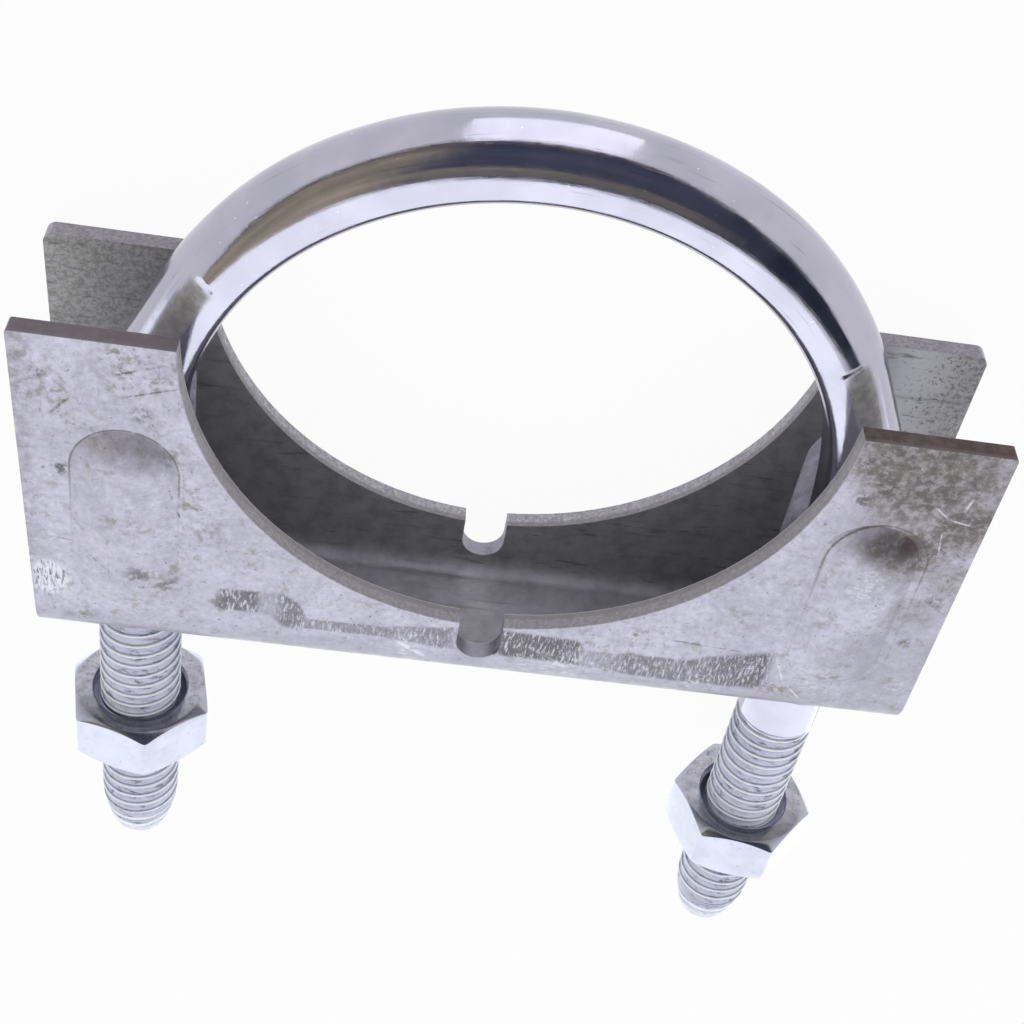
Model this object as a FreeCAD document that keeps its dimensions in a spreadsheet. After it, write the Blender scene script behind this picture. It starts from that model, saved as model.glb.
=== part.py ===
import FreeCAD, Part
import math
import os

import Sketcher

os.makedirs("parts", exist_ok=True)

# Exhaust clamp: a folded sheet saddle, a U-bolt with a flattened loop, and two hex nuts.
# Millimetres. The origin is the axis of the pipe that sits in the saddle's seat:
# X runs from leg to leg, Y from the threaded ends towards the loop, Z along the pipe.
# The clamp lies on the pressed bumps of its lower wall, with the pipe axis upright.


# Sizes with the expression that the document keeps for them

class Size:
    """A number together with the document expression that gives it."""

    def __init__(self, value, text):
        self.value = float(value)
        self.text = text

    def __add__(self, other):
        return Size(self.value + number(other), f"({self.text} + {text(other)})")

    def __sub__(self, other):
        return Size(self.value - number(other), f"({self.text} - {text(other)})")

    def __mul__(self, other):
        return Size(self.value * number(other), f"({self.text} * {text(other)})")

    def __truediv__(self, other):
        return Size(self.value / number(other), f"({self.text} / {text(other)})")

    def __neg__(self):
        return Size(-self.value, f"(0 - {self.text})")


def number(size):
    return size.value if isinstance(size, Size) else float(size)


def text(size):
    return size.text if isinstance(size, Size) else repr(float(size))


def sine(angle):
    return Size(math.sin(math.radians(angle.value)), f"sin({angle.text} * 1 deg)")


def cosine(angle):
    return Size(math.cos(math.radians(angle.value)), f"cos({angle.text} * 1 deg)")


def tangent(angle):
    return Size(math.tan(math.radians(angle.value)), f"tan({angle.text} * 1 deg)")


def root(size):
    return Size(math.sqrt(size.value), f"sqrt({size.text})")


doc = FreeCAD.newDocument("ExhaustClamp")
sheet = doc.addObject("Spreadsheet::Sheet", "Sizes")
row = 0


def size(alias, value, note):
    """One driving size: a numbered cell of the sheet with its own alias."""
    global row
    row += 1
    sheet.set(f"A{row}", alias)
    sheet.set(f"B{row}", str(value))
    sheet.setAlias(f"B{row}", alias)
    sheet.set(f"C{row}", note)
    return Size(value, f"Sizes.{alias}")


# Driving sizes

pipe_radius = size("pipe_radius", 27.0, "outer radius of the pipe that is clamped")
pipe_clearance = size("pipe_clearance", 0.15, "pipe to the U-bolt, all round")
bar_diameter = size("bar_diameter", 7.7, "U-bolt bar over its 5/16 inch thread")

sheet_thickness = size("sheet_thickness", 1.7, "saddle sheet")
side_clearance = size("side_clearance", 1.85, "bar to each inner wall of the saddle")
end_margin = size("end_margin", 8.6, "right leg's axis to the saddle's right end")
left_margin_top = size("left_margin_top", 8.95, "left leg's axis to the left end, at the free edges")
left_margin_foot = size("left_margin_foot", 7.7, "the same at the web: the sheet is cut askew there")
seat_to_web = size("seat_to_web", 5.75, "bottom of the seat to the web's inner face")
wall_top_drop = size("wall_top_drop", 0.8, "pipe axis down to the walls' free edges")
bend_radius = size("bend_radius", 1.6, "inner radius of the two folds")
upper_corner_radius = size("upper_corner_radius", 0.3, "free corners of the upper wall")
lower_corner_radius = size("lower_corner_radius", 0.9, "free corners of the lower wall")
notch_width = size("notch_width", 3.9, "notch at the bottom of the seat")
notch_floor = size("notch_floor", 1.6, "web's inner face to the notch's round bottom")
leg_hole_clearance = size("leg_hole_clearance", 0.5, "leg to its hole in the web, all round")
collar_land = size("collar_land", 1.35, "flat of the raised collar round each leg hole")
collar_run = size("collar_run", 0.7, "sideways run of that collar's sloping rim")
collar_rise = size("collar_rise", 1.0, "height of the rim, which ends inside the folds")

bump_width = size("bump_width", 8.6, "pressed bump over each leg, across")
bump_height = size("bump_height", 1.1, "how far a bump stands off its wall")
bump_top_margin = size("bump_top_margin", 8.8, "wall's free edge to the bump's top")
bump_foot_margin = size("bump_foot_margin", 5.2, "web's outer face to the bump's foot")
bump_half_sweep = size("bump_half_sweep", 58.0, "degrees each side that a bump is turned")

loop_drop = size("loop_drop", 13.7, "pipe axis down to the loop's centre, nuts backed off")
flat_depth = size("flat_depth", 1.9, "how deep the bar is pressed flat inside the loop")
die_growth = size("die_growth", 0.15, "how much fatter the pressed bar is, on its radius")
arc_end_angle = size("arc_end_angle", 25.0, "degrees above level where the loop's arc ends")
die_end_angle = size("die_end_angle", 33.0, "degrees above level where the die's mark on it ends")
leg_bend_radius = size("leg_bend_radius", 20.0, "bend between the loop's shoulder and a leg")
leg_length_left = size("leg_length_left", 55.8, "loop's centre to the left tip")
leg_length_right = size("leg_length_right", 60.9, "loop's centre to the right tip")
tip_length = size("tip_length", 7.0, "tapered start of each thread")
tip_radius = size("tip_radius", 2.5, "end face of each leg")

nut_across_flats = size("nut_across_flats", 12.55, "half inch spanner size")
nut_height = size("nut_height", 5.9, "nut thickness")
nut_running_gap = size("nut_running_gap", 0.06, "thread to nut, all round")
nut_face_inset = size("nut_face_inset", 0.25, "flats in to the bearing face's edge")
nut_chamfer_angle = size("nut_chamfer_angle", 30.0, "degrees of the corner chamfer")
nut_countersink = size("nut_countersink", 0.75, "width of the countersink round the thread")
thread_past_left = size("thread_past_left", 15.0, "left nut to the tip of its leg")
thread_past_right = size("thread_past_right", 13.45, "right nut to the tip of its leg")
nut_spin_left = size("nut_spin_left", -17.3, "degrees that the left nut is turned")
nut_spin_right = size("nut_spin_right", -9.5, "degrees that the right nut is turned")

# Worked out from them

bar_radius = bar_diameter / 2
flat_radius = pipe_radius + pipe_clearance
leg_x = flat_radius + bar_radius
loop_line_radius = leg_x - flat_depth
channel_half = bar_radius + side_clearance
wall_half = channel_half + sheet_thickness
web_inner_y = -(pipe_radius + seat_to_web)
web_outer_y = web_inner_y - sheet_thickness
wall_top_y = -wall_top_drop
right_end_x = leg_x + end_margin
left_top_x = -(leg_x + left_margin_top)
left_foot_x = -(leg_x + left_margin_foot)
leg_hole_radius = bar_radius + leg_hole_clearance
collar_radius = leg_hole_radius + collar_land
bump_half = bump_width / 2
bump_radius = (bump_half * bump_half + bump_height * bump_height) / (bump_height * 2)
bump_axis_z = wall_half + bump_height - bump_radius
nut_corner_radius = nut_across_flats / math.sqrt(3.0)
nut_bore_radius = bar_radius + nut_running_gap
clear_of_part = 5.0  # how far a cutting outline reaches past the metal


# Helpers

def bind(thing, field, value):
    thing.setExpression(field, text(value))


def body_named(name, label):
    body = doc.addObject("PartDesign::Body", name)
    body.Label = label
    return body


def origin_plane(body, role):
    return next(item for item in body.Origin.OriginFeatures if item.Role == role)


def sketch_on(body, role, name, offset=None):
    """A sketch on one of the body's own planes, moved along its normal by an offset."""
    sketch = body.newObject("Sketcher::SketchObject", name)
    sketch.AttachmentSupport = [(origin_plane(body, role), "")]
    sketch.MapMode = "FlatFace"
    if offset is not None:
        bind(sketch, "AttachmentOffset.Base.z", offset)
    return sketch


def dimension(sketch, constraint, value):
    index = sketch.addConstraint(constraint)
    sketch.setExpression(f"Constraints[{index}]", text(value))


def hold_coordinate(sketch, kind, edge, end, value):
    """Hold a point's X or Y distance from the sketch's origin."""
    if number(value) == 0:
        axis = -2 if kind == "DistanceX" else -1
        sketch.addConstraint(Sketcher.Constraint("PointOnObject", edge, end, axis))
    elif number(value) > 0:
        dimension(sketch, Sketcher.Constraint(kind, -1, 1, edge, end, number(value)), value)
    else:
        dimension(sketch, Sketcher.Constraint(kind, edge, end, -1, 1, -number(value)), -value)


def hold_point(sketch, edge, end, x, y):
    hold_coordinate(sketch, "DistanceX", edge, end, x)
    hold_coordinate(sketch, "DistanceY", edge, end, y)


def point(x, y):
    return FreeCAD.Vector(number(x), number(y), 0)


def outline(sketch, corners, arcs=None, closed=True):
    """Lines and arcs from corner to corner.

    arcs maps an edge's number to (centre x, centre y, radius, counter-clockwise).
    """
    arcs = arcs or {}
    count = len(corners)
    edges = count if closed else count - 1
    ends = []
    for index in range(edges):
        start, stop = corners[index], corners[(index + 1) % count]
        if index not in arcs:
            edge = sketch.addGeometry(Part.LineSegment(point(*start), point(*stop)), False)
            ends.append((edge, 1, 2))
            continue
        centre_x, centre_y, radius, forward = arcs[index]
        first, last = (start, stop) if forward else (stop, start)
        centre = point(centre_x, centre_y)
        spokes = [point(*end) - centre for end in (first, last)]
        angles = [math.atan2(spoke.y, spoke.x) for spoke in spokes]
        if angles[1] <= angles[0]:
            angles[1] += 2 * math.pi
        circle = Part.Circle(centre, FreeCAD.Vector(0, 0, 1), number(radius))
        edge = sketch.addGeometry(Part.ArcOfCircle(circle, *angles), False)
        chord = point(*stop) - point(*start)
        if abs(chord.x) > abs(chord.y):
            hold_coordinate(sketch, "DistanceY", edge, 3, centre_y)
        else:
            hold_coordinate(sketch, "DistanceX", edge, 3, centre_x)
        ends.append((edge, 1, 2) if forward else (edge, 2, 1))
    for index in range(count if closed else count - 1):
        edge, start_end, _ = ends[index]
        hold_point(sketch, edge, start_end, *corners[index])
        if index + 1 < edges or closed:
            following, following_start, _ = ends[(index + 1) % edges]
            join = Sketcher.Constraint("Coincident", edge, ends[index][2], following, following_start)
            sketch.addConstraint(join)
    if not closed:
        hold_point(sketch, ends[-1][0], ends[-1][2], *corners[-1])


def rectangle(sketch, low_x, low_y, high_x, high_y):
    outline(sketch, [(low_x, low_y), (high_x, low_y), (high_x, high_y), (low_x, high_y)])


def circle(sketch, x, y, radius):
    edge = sketch.addGeometry(Part.Circle(point(x, y), FreeCAD.Vector(0, 0, 1), number(radius)), False)
    hold_point(sketch, edge, 3, x, y)
    dimension(sketch, Sketcher.Constraint("Radius", edge, number(radius)), radius)


def axis_line(sketch, start, stop):
    """A construction line that a profile is turned about."""
    edge = sketch.addGeometry(Part.LineSegment(point(*start), point(*stop)), True)
    hold_point(sketch, edge, 1, *start)
    hold_point(sketch, edge, 2, *stop)


def feature(body, kind, name, profile, **settings):
    item = body.newObject(f"PartDesign::{kind}", name)
    item.Profile = profile
    for field, value in settings.items():
        if isinstance(value, Size):
            bind(item, field, value)
        else:
            setattr(item, field, value)
    profile.Visibility = False
    doc.recompute()
    return item


def cut_through(body, name, profile):
    return feature(body, "Pocket", name, profile, Type="ThroughAll", SideType="Symmetric")


def mirrored(body, name, originals, role):
    item = body.newObject("PartDesign::Mirrored", name)
    item.Originals = originals
    item.MirrorPlane = (origin_plane(body, role), [""])
    body.Tip = item
    doc.recompute()
    return item


def rounded(body, name, radius, keep):
    """Round the edges of the body so far whose middle point the test keeps."""
    base = body.Tip
    names = []
    for index, edge in enumerate(base.Shape.Edges, 1):
        middle = edge.valueAt((edge.FirstParameter + edge.LastParameter) / 2)
        if edge.Curve.TypeId == "Part::GeomLine" and keep(edge, middle):
            names.append(f"Edge{index}")
    item = body.newObject("PartDesign::Fillet", name)
    item.Base = (base, names)
    bind(item, "Radius", radius)
    doc.recompute()
    return item


def near(value, size_wanted):
    return abs(value - number(size_wanted)) < 0.01


def runs_along(edge, direction):
    return abs(edge.tangentAt(edge.FirstParameter).dot(direction)) > 0.999


ALONG_X = FreeCAD.Vector(1, 0, 0)
ALONG_Z = FreeCAD.Vector(0, 0, 1)


# Saddle: one folded sheet, a web with two upright walls

def bump_profile(body, name, x, radius):
    """Half outline of a round-ended bump, in the leg's own plane."""
    sketch = sketch_on(body, "YZ_Plane", name, x)
    top_y = wall_top_y - bump_top_margin - bump_half
    foot_y = web_outer_y + bump_foot_margin + bump_half
    reach = bump_half * 1.1
    rise = root(radius * radius - reach * reach)
    corners = [
        (foot_y - reach, bump_axis_z),
        (top_y + reach, bump_axis_z),
        (top_y + reach, bump_axis_z + rise),
        (top_y, bump_axis_z + radius),
        (foot_y, bump_axis_z + radius),
        (foot_y - reach, bump_axis_z + rise),
    ]
    arcs = {
        2: (top_y, bump_axis_z, radius, True),
        4: (foot_y, bump_axis_z, radius, True),
    }
    outline(sketch, corners, arcs)
    axis_line(sketch, (foot_y, bump_axis_z), (top_y, bump_axis_z))
    return sketch


def turned_bump(body, kind, name, x, radius):
    profile = bump_profile(body, name + "_profile", x, radius)
    return feature(
        body, kind, name, profile,
        ReferenceAxis=(profile, ["Axis0"]), Midplane=True, Angle=bump_half_sweep * 2,
    )


def add_collar(body, name, x):
    """A disc flush with the web, turned about a leg, that fills out the two folds beside it."""
    profile = sketch_on(body, "XY_Plane", name + "_profile")
    rim, top = x + collar_radius, web_outer_y + collar_rise
    outline(profile, [(x, web_outer_y), (rim, web_outer_y), (rim + collar_run, top), (x, top)])
    axis_line(profile, (x, web_outer_y), (x, top))
    feature(body, "Revolution", name, profile, ReferenceAxis=(profile, ["Axis0"]), Angle=360)


def make_saddle():
    body = body_named("Saddle", "saddle")

    block = sketch_on(body, "XY_Plane", "block_outline")
    outline(block, [
        (left_foot_x, web_outer_y), (right_end_x, web_outer_y),
        (right_end_x, wall_top_y), (left_top_x, wall_top_y),
    ])
    feature(body, "Pad", "block", block, Length=wall_half * 2, SideType="Symmetric")

    rounded(body, "outer_folds", bend_radius + sheet_thickness,
            lambda edge, middle: runs_along(edge, ALONG_X) and near(middle.y, web_outer_y))
    add_collar(body, "collar_left", -leg_x)
    add_collar(body, "collar_right", leg_x)

    bumps = [turned_bump(body, "Revolution", "bump_" + side, x, bump_radius)
             for side, x in (("left", -leg_x), ("right", leg_x))]
    mirrored(body, "bumps_below", bumps, "XY_Plane")

    channel = sketch_on(body, "YZ_Plane", "channel_profile")
    rectangle(channel, web_inner_y, -channel_half, wall_top_y + clear_of_part, channel_half)
    cut_through(body, "channel", channel)

    rounded(body, "inner_folds", bend_radius,
            lambda edge, middle: runs_along(edge, ALONG_X) and near(middle.y, web_inner_y))

    recesses = [turned_bump(body, "Groove", "recess_" + side, x, bump_radius - sheet_thickness)
                for side, x in (("left", -leg_x), ("right", leg_x))]
    mirrored(body, "recesses_below", recesses, "XY_Plane")

    seat = sketch_on(body, "XY_Plane", "seat_circle")
    circle(seat, 0, 0, pipe_radius)
    cut_through(body, "seat", seat)

    notch = sketch_on(body, "XY_Plane", "notch_outline")
    half = notch_width / 2
    bottom_y = web_inner_y + notch_floor + half
    outline(
        notch,
        [(half, wall_top_y), (-half, wall_top_y), (-half, bottom_y), (half, bottom_y)],
        {2: (0, bottom_y, half, True)},
    )
    cut_through(body, "notch", notch)

    holes = sketch_on(body, "XZ_Plane", "leg_hole_circles")
    circle(holes, leg_x, 0, leg_hole_radius)
    circle(holes, -leg_x, 0, leg_hole_radius)
    cut_through(body, "leg_holes", holes)

    def at_free_corner(edge, middle):
        at_end = near(middle.x, left_top_x) or near(middle.x, right_end_x)
        return runs_along(edge, ALONG_Z) and near(middle.y, wall_top_y) and at_end

    rounded(body, "upper_corners", upper_corner_radius,
            lambda edge, middle: at_free_corner(edge, middle) and middle.z > 0)
    rounded(body, "lower_corners", lower_corner_radius,
            lambda edge, middle: at_free_corner(edge, middle) and middle.z < 0)
    return body


# U-bolt: one bent bar, pressed flat where it bears on the pipe

def make_u_bolt():
    body = body_named("UBolt", "u_bolt")
    bind(body, "Placement.Base.y", -loop_drop)

    sin_end, cos_end = sine(arc_end_angle), cosine(arc_end_angle)
    bend_run = leg_bend_radius * tangent(arc_end_angle / 2)
    knee_y = (loop_line_radius - leg_x * cos_end) / sin_end
    arc_end = (loop_line_radius * cos_end, loop_line_radius * sin_end)
    shoulder = (leg_x - bend_run * sin_end, knee_y + bend_run * cos_end)
    leg_top = (leg_x, knee_y - bend_run)
    bend_centre = (leg_x - leg_bend_radius, knee_y - bend_run)

    route = sketch_on(body, "XY_Plane", "bar_centreline")
    outline(
        route,
        [
            (-leg_x, -leg_length_left), (-leg_top[0], leg_top[1]), (-shoulder[0], shoulder[1]),
            (-arc_end[0], arc_end[1]), arc_end, shoulder, leg_top, (leg_x, -leg_length_right),
        ],
        {
            1: (-bend_centre[0], bend_centre[1], leg_bend_radius, False),
            3: (0, 0, loop_line_radius, False),
            5: (*bend_centre, leg_bend_radius, False),
        },
        closed=False,
    )
    section = sketch_on(body, "XZ_Plane", "bar_section", leg_length_left)
    circle(section, -leg_x, 0, bar_radius)
    doc.recompute()
    feature(body, "AdditivePipe", "bar", section, Spine=(route, []), Mode="Frenet")

    pressed = sketch_on(body, "YZ_Plane", "pressed_section")
    circle(pressed, loop_line_radius, 0, bar_radius + die_growth)
    feature(
        body, "Revolution", "pressed_arc", pressed,
        ReferenceAxis=(pressed, ["V_Axis"]), Midplane=True, Angle=-(die_end_angle * 2) + 180,
    )

    mandrel = sketch_on(body, "XY_Plane", "mandrel_outline")
    outline(mandrel, [(flat_radius, 0), (-flat_radius, 0)], {0: (0, 0, flat_radius, True)})
    cut_through(body, "flat", mandrel)

    for side, x, length in (("left", -leg_x, leg_length_left), ("right", leg_x, leg_length_right)):
        tip = sketch_on(body, "XY_Plane", "tip_outline_" + side)
        slope = bar_radius - tip_radius
        round_radius = (tip_length * tip_length + slope * slope) / (slope * 2)
        outline(
            tip,
            [
                (x + tip_radius, -length),
                (x + bar_radius, -length),
                (x + bar_radius, tip_length - length),
            ],
            {2: (x + bar_radius - round_radius, tip_length - length, round_radius, False)},
        )
        axis_line(tip, (x, -length), (x, tip_length - length))
        feature(body, "Groove", "tip_" + side, tip, ReferenceAxis=(tip, ["Axis0"]), Angle=360)
    return body


# Nuts: plain hexagons, chamfered and countersunk on both faces

def make_nut(label, x, leg_length, thread_past, spin):
    body = body_named("Nut", label)
    body.Placement.Rotation = FreeCAD.Rotation(ALONG_X, -90)
    bind(body, "Placement.Base.x", x)
    bind(body, "Placement.Base.y", thread_past + nut_height / 2 - leg_length - loop_drop)

    hexagon = sketch_on(body, "XY_Plane", label + "_hexagon")
    bind(hexagon, "AttachmentOffset.Rotation.Angle", spin)
    across, half = nut_corner_radius, nut_corner_radius / 2
    rise = nut_across_flats / 2
    outline(hexagon, [
        (across, 0), (half, rise), (-half, rise),
        (-across, 0), (-half, -rise), (half, -rise),
    ])
    feature(body, "Pad", label + "_blank", hexagon, Length=nut_height, SideType="Symmetric")

    bore = sketch_on(body, "XY_Plane", label + "_bore_circle")
    circle(bore, 0, 0, nut_bore_radius)
    cut_through(body, label + "_bore", bore)

    top = nut_height / 2
    face_radius = nut_across_flats / 2 - nut_face_inset
    reach = nut_corner_radius - face_radius + clear_of_part
    chamfer = sketch_on(body, "XZ_Plane", label + "_chamfer_outline")
    outline(chamfer, [
        (face_radius, top), (face_radius + reach, top),
        (face_radius + reach, top - reach * tangent(nut_chamfer_angle)),
    ])
    turned = feature(body, "Groove", label + "_chamfer", chamfer,
                     ReferenceAxis=(chamfer, ["V_Axis"]), Angle=360)

    sink = sketch_on(body, "XZ_Plane", label + "_countersink_outline")
    sink_radius = bar_radius + nut_countersink
    outline(sink, [
        (nut_bore_radius / 2, top), (sink_radius, top),
        (nut_bore_radius / 2, top - (sink_radius - nut_bore_radius / 2)),
    ])
    sunk = feature(body, "Groove", label + "_countersink", sink,
                   ReferenceAxis=(sink, ["V_Axis"]), Angle=360)
    mirrored(body, label + "_other_face", [turned, sunk], "XY_Plane")
    return body


pieces = [
    make_saddle(),
    make_u_bolt(),
    make_nut("nut_left", -leg_x, leg_length_left, thread_past_left, nut_spin_left),
    make_nut("nut_right", leg_x, leg_length_right, thread_past_right, nut_spin_right),
]
doc.recompute()

# Check everything before anything is written

for item in doc.Objects:
    if "Invalid" in item.State or "Error" in item.State:
        raise RuntimeError(f"{item.Label} failed: {item.State}")
for body in pieces:
    shape = body.Shape
    if shape.isNull() or not shape.isValid() or len(shape.Solids) != 1:
        raise RuntimeError(f"{body.Label} is not one sound solid")

for body in pieces:
    body.Shape.exportStep(f"parts/{body.Label}.step")
    box = body.Shape.BoundBox
    print(f"{body.Label}: {body.Shape.Volume:.0f} mm3, X {box.XMin:.2f} to {box.XMax:.2f}, "
          f"Y {box.YMin:.2f} to {box.YMax:.2f}, Z {box.ZMin:.2f} to {box.ZMax:.2f}")
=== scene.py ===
from math import asin, cos, hypot, pi, radians, sin, sqrt, tan

import bmesh
import bpy
from mathutils import Matrix, Vector


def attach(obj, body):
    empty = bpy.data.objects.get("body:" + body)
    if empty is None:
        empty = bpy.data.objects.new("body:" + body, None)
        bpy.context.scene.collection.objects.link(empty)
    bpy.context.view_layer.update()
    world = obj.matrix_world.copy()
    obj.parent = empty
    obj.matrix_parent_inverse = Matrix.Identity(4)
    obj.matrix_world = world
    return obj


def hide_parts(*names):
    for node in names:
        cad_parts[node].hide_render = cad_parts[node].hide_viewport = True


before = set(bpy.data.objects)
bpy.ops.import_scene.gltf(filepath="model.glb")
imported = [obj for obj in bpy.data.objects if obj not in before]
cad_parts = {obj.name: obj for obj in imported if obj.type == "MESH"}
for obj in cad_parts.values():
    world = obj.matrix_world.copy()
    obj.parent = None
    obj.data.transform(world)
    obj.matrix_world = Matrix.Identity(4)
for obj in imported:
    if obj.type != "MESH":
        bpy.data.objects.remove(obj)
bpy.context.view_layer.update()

MM = 0.001

# Sizes of the bolt, in millimetres
LOOP_CENTRE_Y = -13.7
LOOP_LINE_RADIUS = 29.1
FLAT_RADIUS = 27.15
FLAT_CORNER = 1.7
BAR_RADIUS = 3.85
PRESSED_RADIUS = 4.0
ARC_END_ANGLE = radians(25)
DIE_END_ANGLE = radians(33)
DIE_LIP = 0.4
DIE_FADE = radians(22)
BEND_RADIUS = 20.0
LEG_X = 31.0
KNEE_Y = (LOOP_LINE_RADIUS - LEG_X * cos(ARC_END_ANGLE)) / sin(ARC_END_ANGLE)
BEND_RUN = BEND_RADIUS * tan(ARC_END_ANGLE / 2)
SHOULDER = (LEG_X - BEND_RUN * sin(ARC_END_ANGLE), KNEE_Y + BEND_RUN * cos(ARC_END_ANGLE))
BEND_CENTRE = (LEG_X - BEND_RADIUS, KNEE_Y - BEND_RUN)
COLUMNS = 96
ROUND_STEPS = COLUMNS // 2
CORNER_STEPS = 14
FLAT_STEPS = 4

# Sizes of the threads
PITCH = 1.411
ROOT_RADIUS = 2.98
THREAD_RUN_IN = 1.6
TIP_LENGTH = 7.0
TIP_RADIUS = 2.5
THREAD_PROFILE = ((0.0, 1.0), (0.045, 0.985), (0.085, 0.90), (0.36, 0.07), (0.42, 0.015), (0.5, 0.0))
THREAD_SAMPLES = (0.0, 0.045, 0.085, 0.21, 0.36, 0.42, 0.5, 0.58, 0.64, 0.79, 0.915, 0.955)
LEGS = {
    "left": {"side": -1, "start": -33.3, "tip": -69.5, "crest": -33.5},
    "right": {"side": 1, "start": -41.2, "tip": -74.6, "crest": -42.2},
}

# Sizes of the nuts
NUT_APOTHEM = 6.275
NUT_BORE = 3.88
NUT_SINK_RADIUS = 4.6
NUT_FACE_RADIUS = 6.025
NUT_CHAMFER = tan(radians(30))
NUT_COLUMNS = 180
NUTS = {
    "nut_left": {"x": -LEG_X, "low": -54.5, "high": -48.6, "corner": radians(17.3)},
    "nut_right": {"x": LEG_X, "low": -61.15, "high": -55.25, "corner": radians(9.5)},
}


def smoothstep(value, low, high):
    share = min(max((value - low) / (high - low), 0.0), 1.0)
    return share * share * (3 - 2 * share)


def mesh_object(name, points, faces, sharp_angle):
    """A smooth-shaded object from points in millimetres, with doubled points merged."""
    mesh = bpy.data.meshes.new(name)
    mesh.from_pydata([[value * MM for value in point] for point in points], [], faces)
    shape = bmesh.new()
    shape.from_mesh(mesh)
    bmesh.ops.remove_doubles(shape, verts=shape.verts, dist=2e-6)
    bmesh.ops.dissolve_degenerate(shape, edges=shape.edges, dist=1e-7)
    bmesh.ops.recalc_face_normals(shape, faces=shape.faces)
    shape.to_mesh(mesh)
    shape.free()
    mesh.shade_smooth()
    mesh.set_sharp_from_angle(angle=sharp_angle)
    item = bpy.data.objects.new(name, mesh)
    bpy.context.scene.collection.objects.link(item)
    return item


# The bolt's bar
def flat_distance(centre, along):
    """From the bar's centre inwards to its flat, or to its round side where it has no flat."""
    ahead = centre[0] * along[0] + centre[1] * along[1]
    square = centre[0] ** 2 + centre[1] ** 2 - FLAT_RADIUS ** 2
    flat = ahead - sqrt(max(ahead * ahead - square, 0.0))
    fade = smoothstep(centre[1], -1.0, 0.0)
    return BAR_RADIUS + (min(flat, BAR_RADIUS) - BAR_RADIUS) * fade


def bar_section(flat, mark):
    """A round section with a flat and rounded corners, as distances outwards and along Z."""
    inner = BAR_RADIUS - FLAT_CORNER
    slope = asin(min((flat - FLAT_CORNER) / inner, 1.0))
    half = []
    for step in range(ROUND_STEPS + 1):
        angle = (pi / 2 + slope) * step / ROUND_STEPS
        sharp, soft = mark
        growth = 0.5 * sharp + 0.5 * soft
        growth += (soft - growth) * smoothstep(cos(angle), 0.4, 0.7)
        growth *= smoothstep(cos(angle), -0.3, 0.15)
        radius = BAR_RADIUS + (PRESSED_RADIUS - BAR_RADIUS) * growth
        half.append((radius * cos(angle), radius * sin(angle)))
    corner = (-inner * sin(slope), inner * cos(slope))
    for step in range(1, CORNER_STEPS + 1):
        angle = pi / 2 + slope + (pi / 2 - slope) * step / CORNER_STEPS
        half.append((corner[0] + FLAT_CORNER * cos(angle), corner[1] + FLAT_CORNER * sin(angle)))
    for step in range(1, FLAT_STEPS + 1):
        half.append((-flat, corner[1] * (1 - step / FLAT_STEPS)))
    return half + [(out, -z) for out, z in reversed(half[1:-1])]


def half_stations():
    """Centre, outward direction and die mark, sharp and soft, of the sections from the loop's top to the leg."""
    stations = []
    lip = DIE_LIP / LOOP_LINE_RADIUS
    angles = [pi / 2 - (pi / 2 - DIE_END_ANGLE - lip) * step / 60 for step in range(61)]
    angles += [DIE_END_ANGLE + lip * (1 - step / 8) for step in range(1, 17)]
    angles += [ARC_END_ANGLE + (DIE_END_ANGLE - lip - ARC_END_ANGLE) * (1 - step / 6) for step in range(1, 7)]
    for angle in angles:
        along = (cos(angle), sin(angle))
        mark = (smoothstep(angle, DIE_END_ANGLE - lip, DIE_END_ANGLE + lip),
                smoothstep(angle, DIE_END_ANGLE, DIE_END_ANGLE + DIE_FADE))
        stations.append(((LOOP_LINE_RADIUS * along[0], LOOP_LINE_RADIUS * along[1]), along, mark))
    start, along, _ = stations[-1]
    for step in range(1, 9):
        centre = tuple(a + (b - a) * step / 8 for a, b in zip(start, SHOULDER))
        stations.append((centre, along, (0.0, 0.0)))
    for step in range(1, 17):
        angle = ARC_END_ANGLE * (1 - step / 16)
        along = (cos(angle), sin(angle))
        centre = (BEND_CENTRE[0] + BEND_RADIUS * along[0], BEND_CENTRE[1] + BEND_RADIUS * along[1])
        stations.append((centre, along, (0.0, 0.0)))
    return stations


def leg_stations(start_y):
    top = BEND_CENTRE[1]
    bottom = start_y - LOOP_CENTRE_Y
    steps = 14
    return [((LEG_X, top + (bottom - top) * step / steps), (1.0, 0.0), (0.0, 0.0)) for step in range(1, steps + 1)]


def bar_mesh():
    half = half_stations()
    path = []
    for (x, y), (out_x, out_y), mark in reversed(half[1:] + leg_stations(LEGS["left"]["start"])):
        path.append(((-x, y), (-out_x, out_y), mark))
    path += half + leg_stations(LEGS["right"]["start"])
    points = []
    for centre, (out_x, out_y), mark in path:
        section = bar_section(flat_distance(centre, (out_x, out_y)), mark)
        for out, z in section:
            points.append((centre[0] + out_x * out, centre[1] + out_y * out + LOOP_CENTRE_Y, z))
    around = len(section)
    faces = []
    for row in range(len(path) - 1):
        for column in range(around):
            a, b = row * around + column, row * around + (column + 1) % around
            faces.append((a, b, b + around, a + around))
    return points, faces


# The threads
def crest_share(turn):
    """How near a place on the thread is to its crest, 1, or to its root, 0."""
    away = abs(turn - round(turn))
    for (near, high), (far, low) in zip(THREAD_PROFILE, THREAD_PROFILE[1:]):
        if away <= far:
            return high + (low - high) * (away - near) / (far - near)
    return 0.0


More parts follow.
